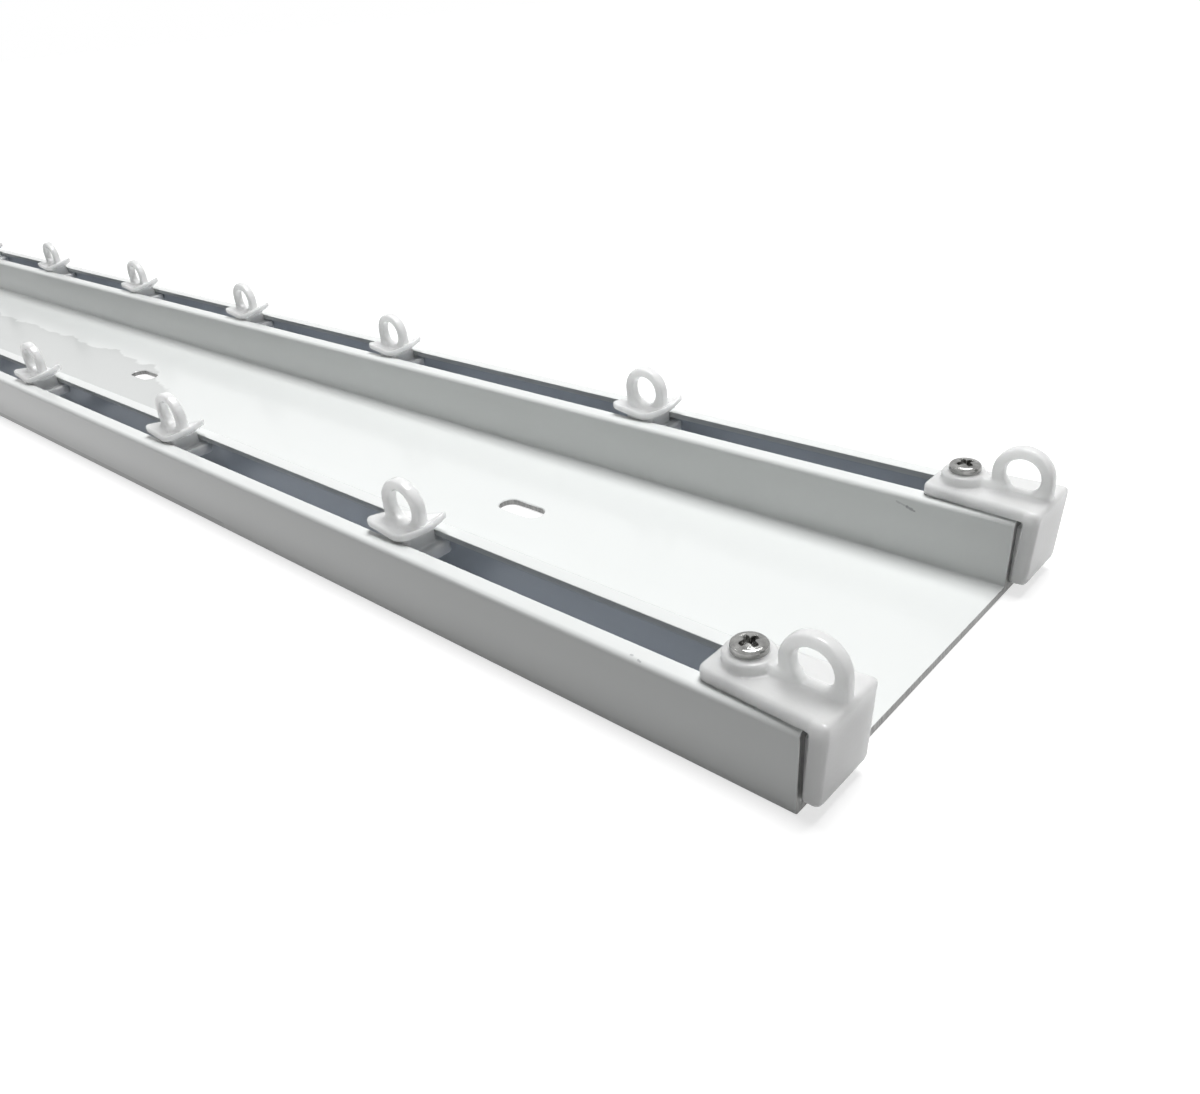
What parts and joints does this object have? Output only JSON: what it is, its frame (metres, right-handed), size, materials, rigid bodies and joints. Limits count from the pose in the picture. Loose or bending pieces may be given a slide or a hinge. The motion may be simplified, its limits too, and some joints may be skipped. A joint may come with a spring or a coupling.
{
  "type": "curtain track",
  "caption": "Ceiling curtain track with a slotted channel along each edge of a flat plate, eyed gliders that slide in them and screw-locked end stops.",
  "frame": {"origin": "middle of the rail's flat fixing face, which it rests on", "axes": "+X along the rail towards the end that the picture shows, +Y across it towards the back channel, +Z away from the fixing face, the way the slots open"},
  "size_m": [0.8084, 0.08, 0.0248],
  "materials": {
    "track": "smooth white paint on a folded metal section, bare metal at the cut ends",
    "nylon": "moulded milky white nylon, slightly translucent",
    "screw": "bright zinc-plated steel"
  },
  "bodies": {
    "rail": {"track_rail": "track", "end_stop_front_right": "nylon", "end_stop_front_left": "nylon", "end_stop_back_right": "nylon", "end_stop_back_left": "nylon", "stop_screws": "screw"},
    "glider_front_01": {"glider_front_01": "nylon"},
    "glider_front_02": {"glider_front_02": "nylon"},
    "glider_front_03": {"glider_front_03": "nylon"},
    "glider_front_04": {"glider_front_04": "nylon"},
    "glider_front_05": {"glider_front_05": "nylon"},
    "glider_front_06": {"glider_front_06": "nylon"},
    "glider_front_07": {"glider_front_07": "nylon"},
    "glider_front_08": {"glider_front_08": "nylon"},
    "glider_front_09": {"glider_front_09": "nylon"},
    "glider_back_01": {"glider_back_01": "nylon"},
    "glider_back_02": {"glider_back_02": "nylon"},
    "glider_back_03": {"glider_back_03": "nylon"},
    "glider_back_04": {"glider_back_04": "nylon"},
    "glider_back_05": {"glider_back_05": "nylon"},
    "glider_back_06": {"glider_back_06": "nylon"},
    "glider_back_07": {"glider_back_07": "nylon"},
    "glider_back_08": {"glider_back_08": "nylon"},
    "glider_back_09": {"glider_back_09": "nylon"}
  },
  "joints": [
    {"name": "slide_front_01", "type": "slide", "parent": "rail", "child": "glider_front_01", "axis": [1, 0, 0], "range_m": [-0.0717, 0.0616]},
    {"name": "slide_front_02", "type": "slide", "parent": "rail", "child": "glider_front_02", "axis": [1, 0, 0], "range_m": [-0.0652, 0.0717]},
    {"name": "slide_front_03", "type": "slide", "parent": "rail", "child": "glider_front_03", "axis": [1, 0, 0], "range_m": [-0.0597, 0.0652]},
    {"name": "slide_front_04", "type": "slide", "parent": "rail", "child": "glider_front_04", "axis": [1, 0, 0], "range_m": [-0.0663, 0.0597]},
    {"name": "slide_front_05", "type": "slide", "parent": "rail", "child": "glider_front_05", "axis": [1, 0, 0], "range_m": [-0.0584, 0.0663]},
    {"name": "slide_front_06", "type": "slide", "parent": "rail", "child": "glider_front_06", "axis": [1, 0, 0], "range_m": [-0.0584, 0.0584]},
    {"name": "slide_front_07", "type": "slide", "parent": "rail", "child": "glider_front_07", "axis": [1, 0, 0], "range_m": [-0.0691, 0.0584]},
    {"name": "slide_front_08", "type": "slide", "parent": "rail", "child": "glider_front_08", "axis": [1, 0, 0], "range_m": [-0.0627, 0.0691]},
    {"name": "slide_front_09", "type": "slide", "parent": "rail", "child": "glider_front_09", "axis": [1, 0, 0], "range_m": [-0.0607, 0.0627]},
    {"name": "slide_back_01", "type": "slide", "parent": "rail", "child": "glider_back_01", "axis": [1, 0, 0], "range_m": [-0.0755, 0.0597]},
    {"name": "slide_back_02", "type": "slide", "parent": "rail", "child": "glider_back_02", "axis": [1, 0, 0], "range_m": [-0.0623, 0.0755]},
    {"name": "slide_back_03", "type": "slide", "parent": "rail", "child": "glider_back_03", "axis": [1, 0, 0], "range_m": [-0.0601, 0.0623]},
    {"name": "slide_back_04", "type": "slide", "parent": "rail", "child": "glider_back_04", "axis": [1, 0, 0], "range_m": [-0.0617, 0.0601]},
    {"name": "slide_back_05", "type": "slide", "parent": "rail", "child": "glider_back_05", "axis": [1, 0, 0], "range_m": [-0.0585, 0.0617]},
    {"name": "slide_back_06", "type": "slide", "parent": "rail", "child": "glider_back_06", "axis": [1, 0, 0], "range_m": [-0.0614, 0.0585]},
    {"name": "slide_back_07", "type": "slide", "parent": "rail", "child": "glider_back_07", "axis": [1, 0, 0], "range_m": [-0.0707, 0.0614]},
    {"name": "slide_back_08", "type": "slide", "parent": "rail", "child": "glider_back_08", "axis": [1, 0, 0], "range_m": [-0.0618, 0.0707]},
    {"name": "slide_back_09", "type": "slide", "parent": "rail", "child": "glider_back_09", "axis": [1, 0, 0], "range_m": [-0.0621, 0.0618]}
  ]
}
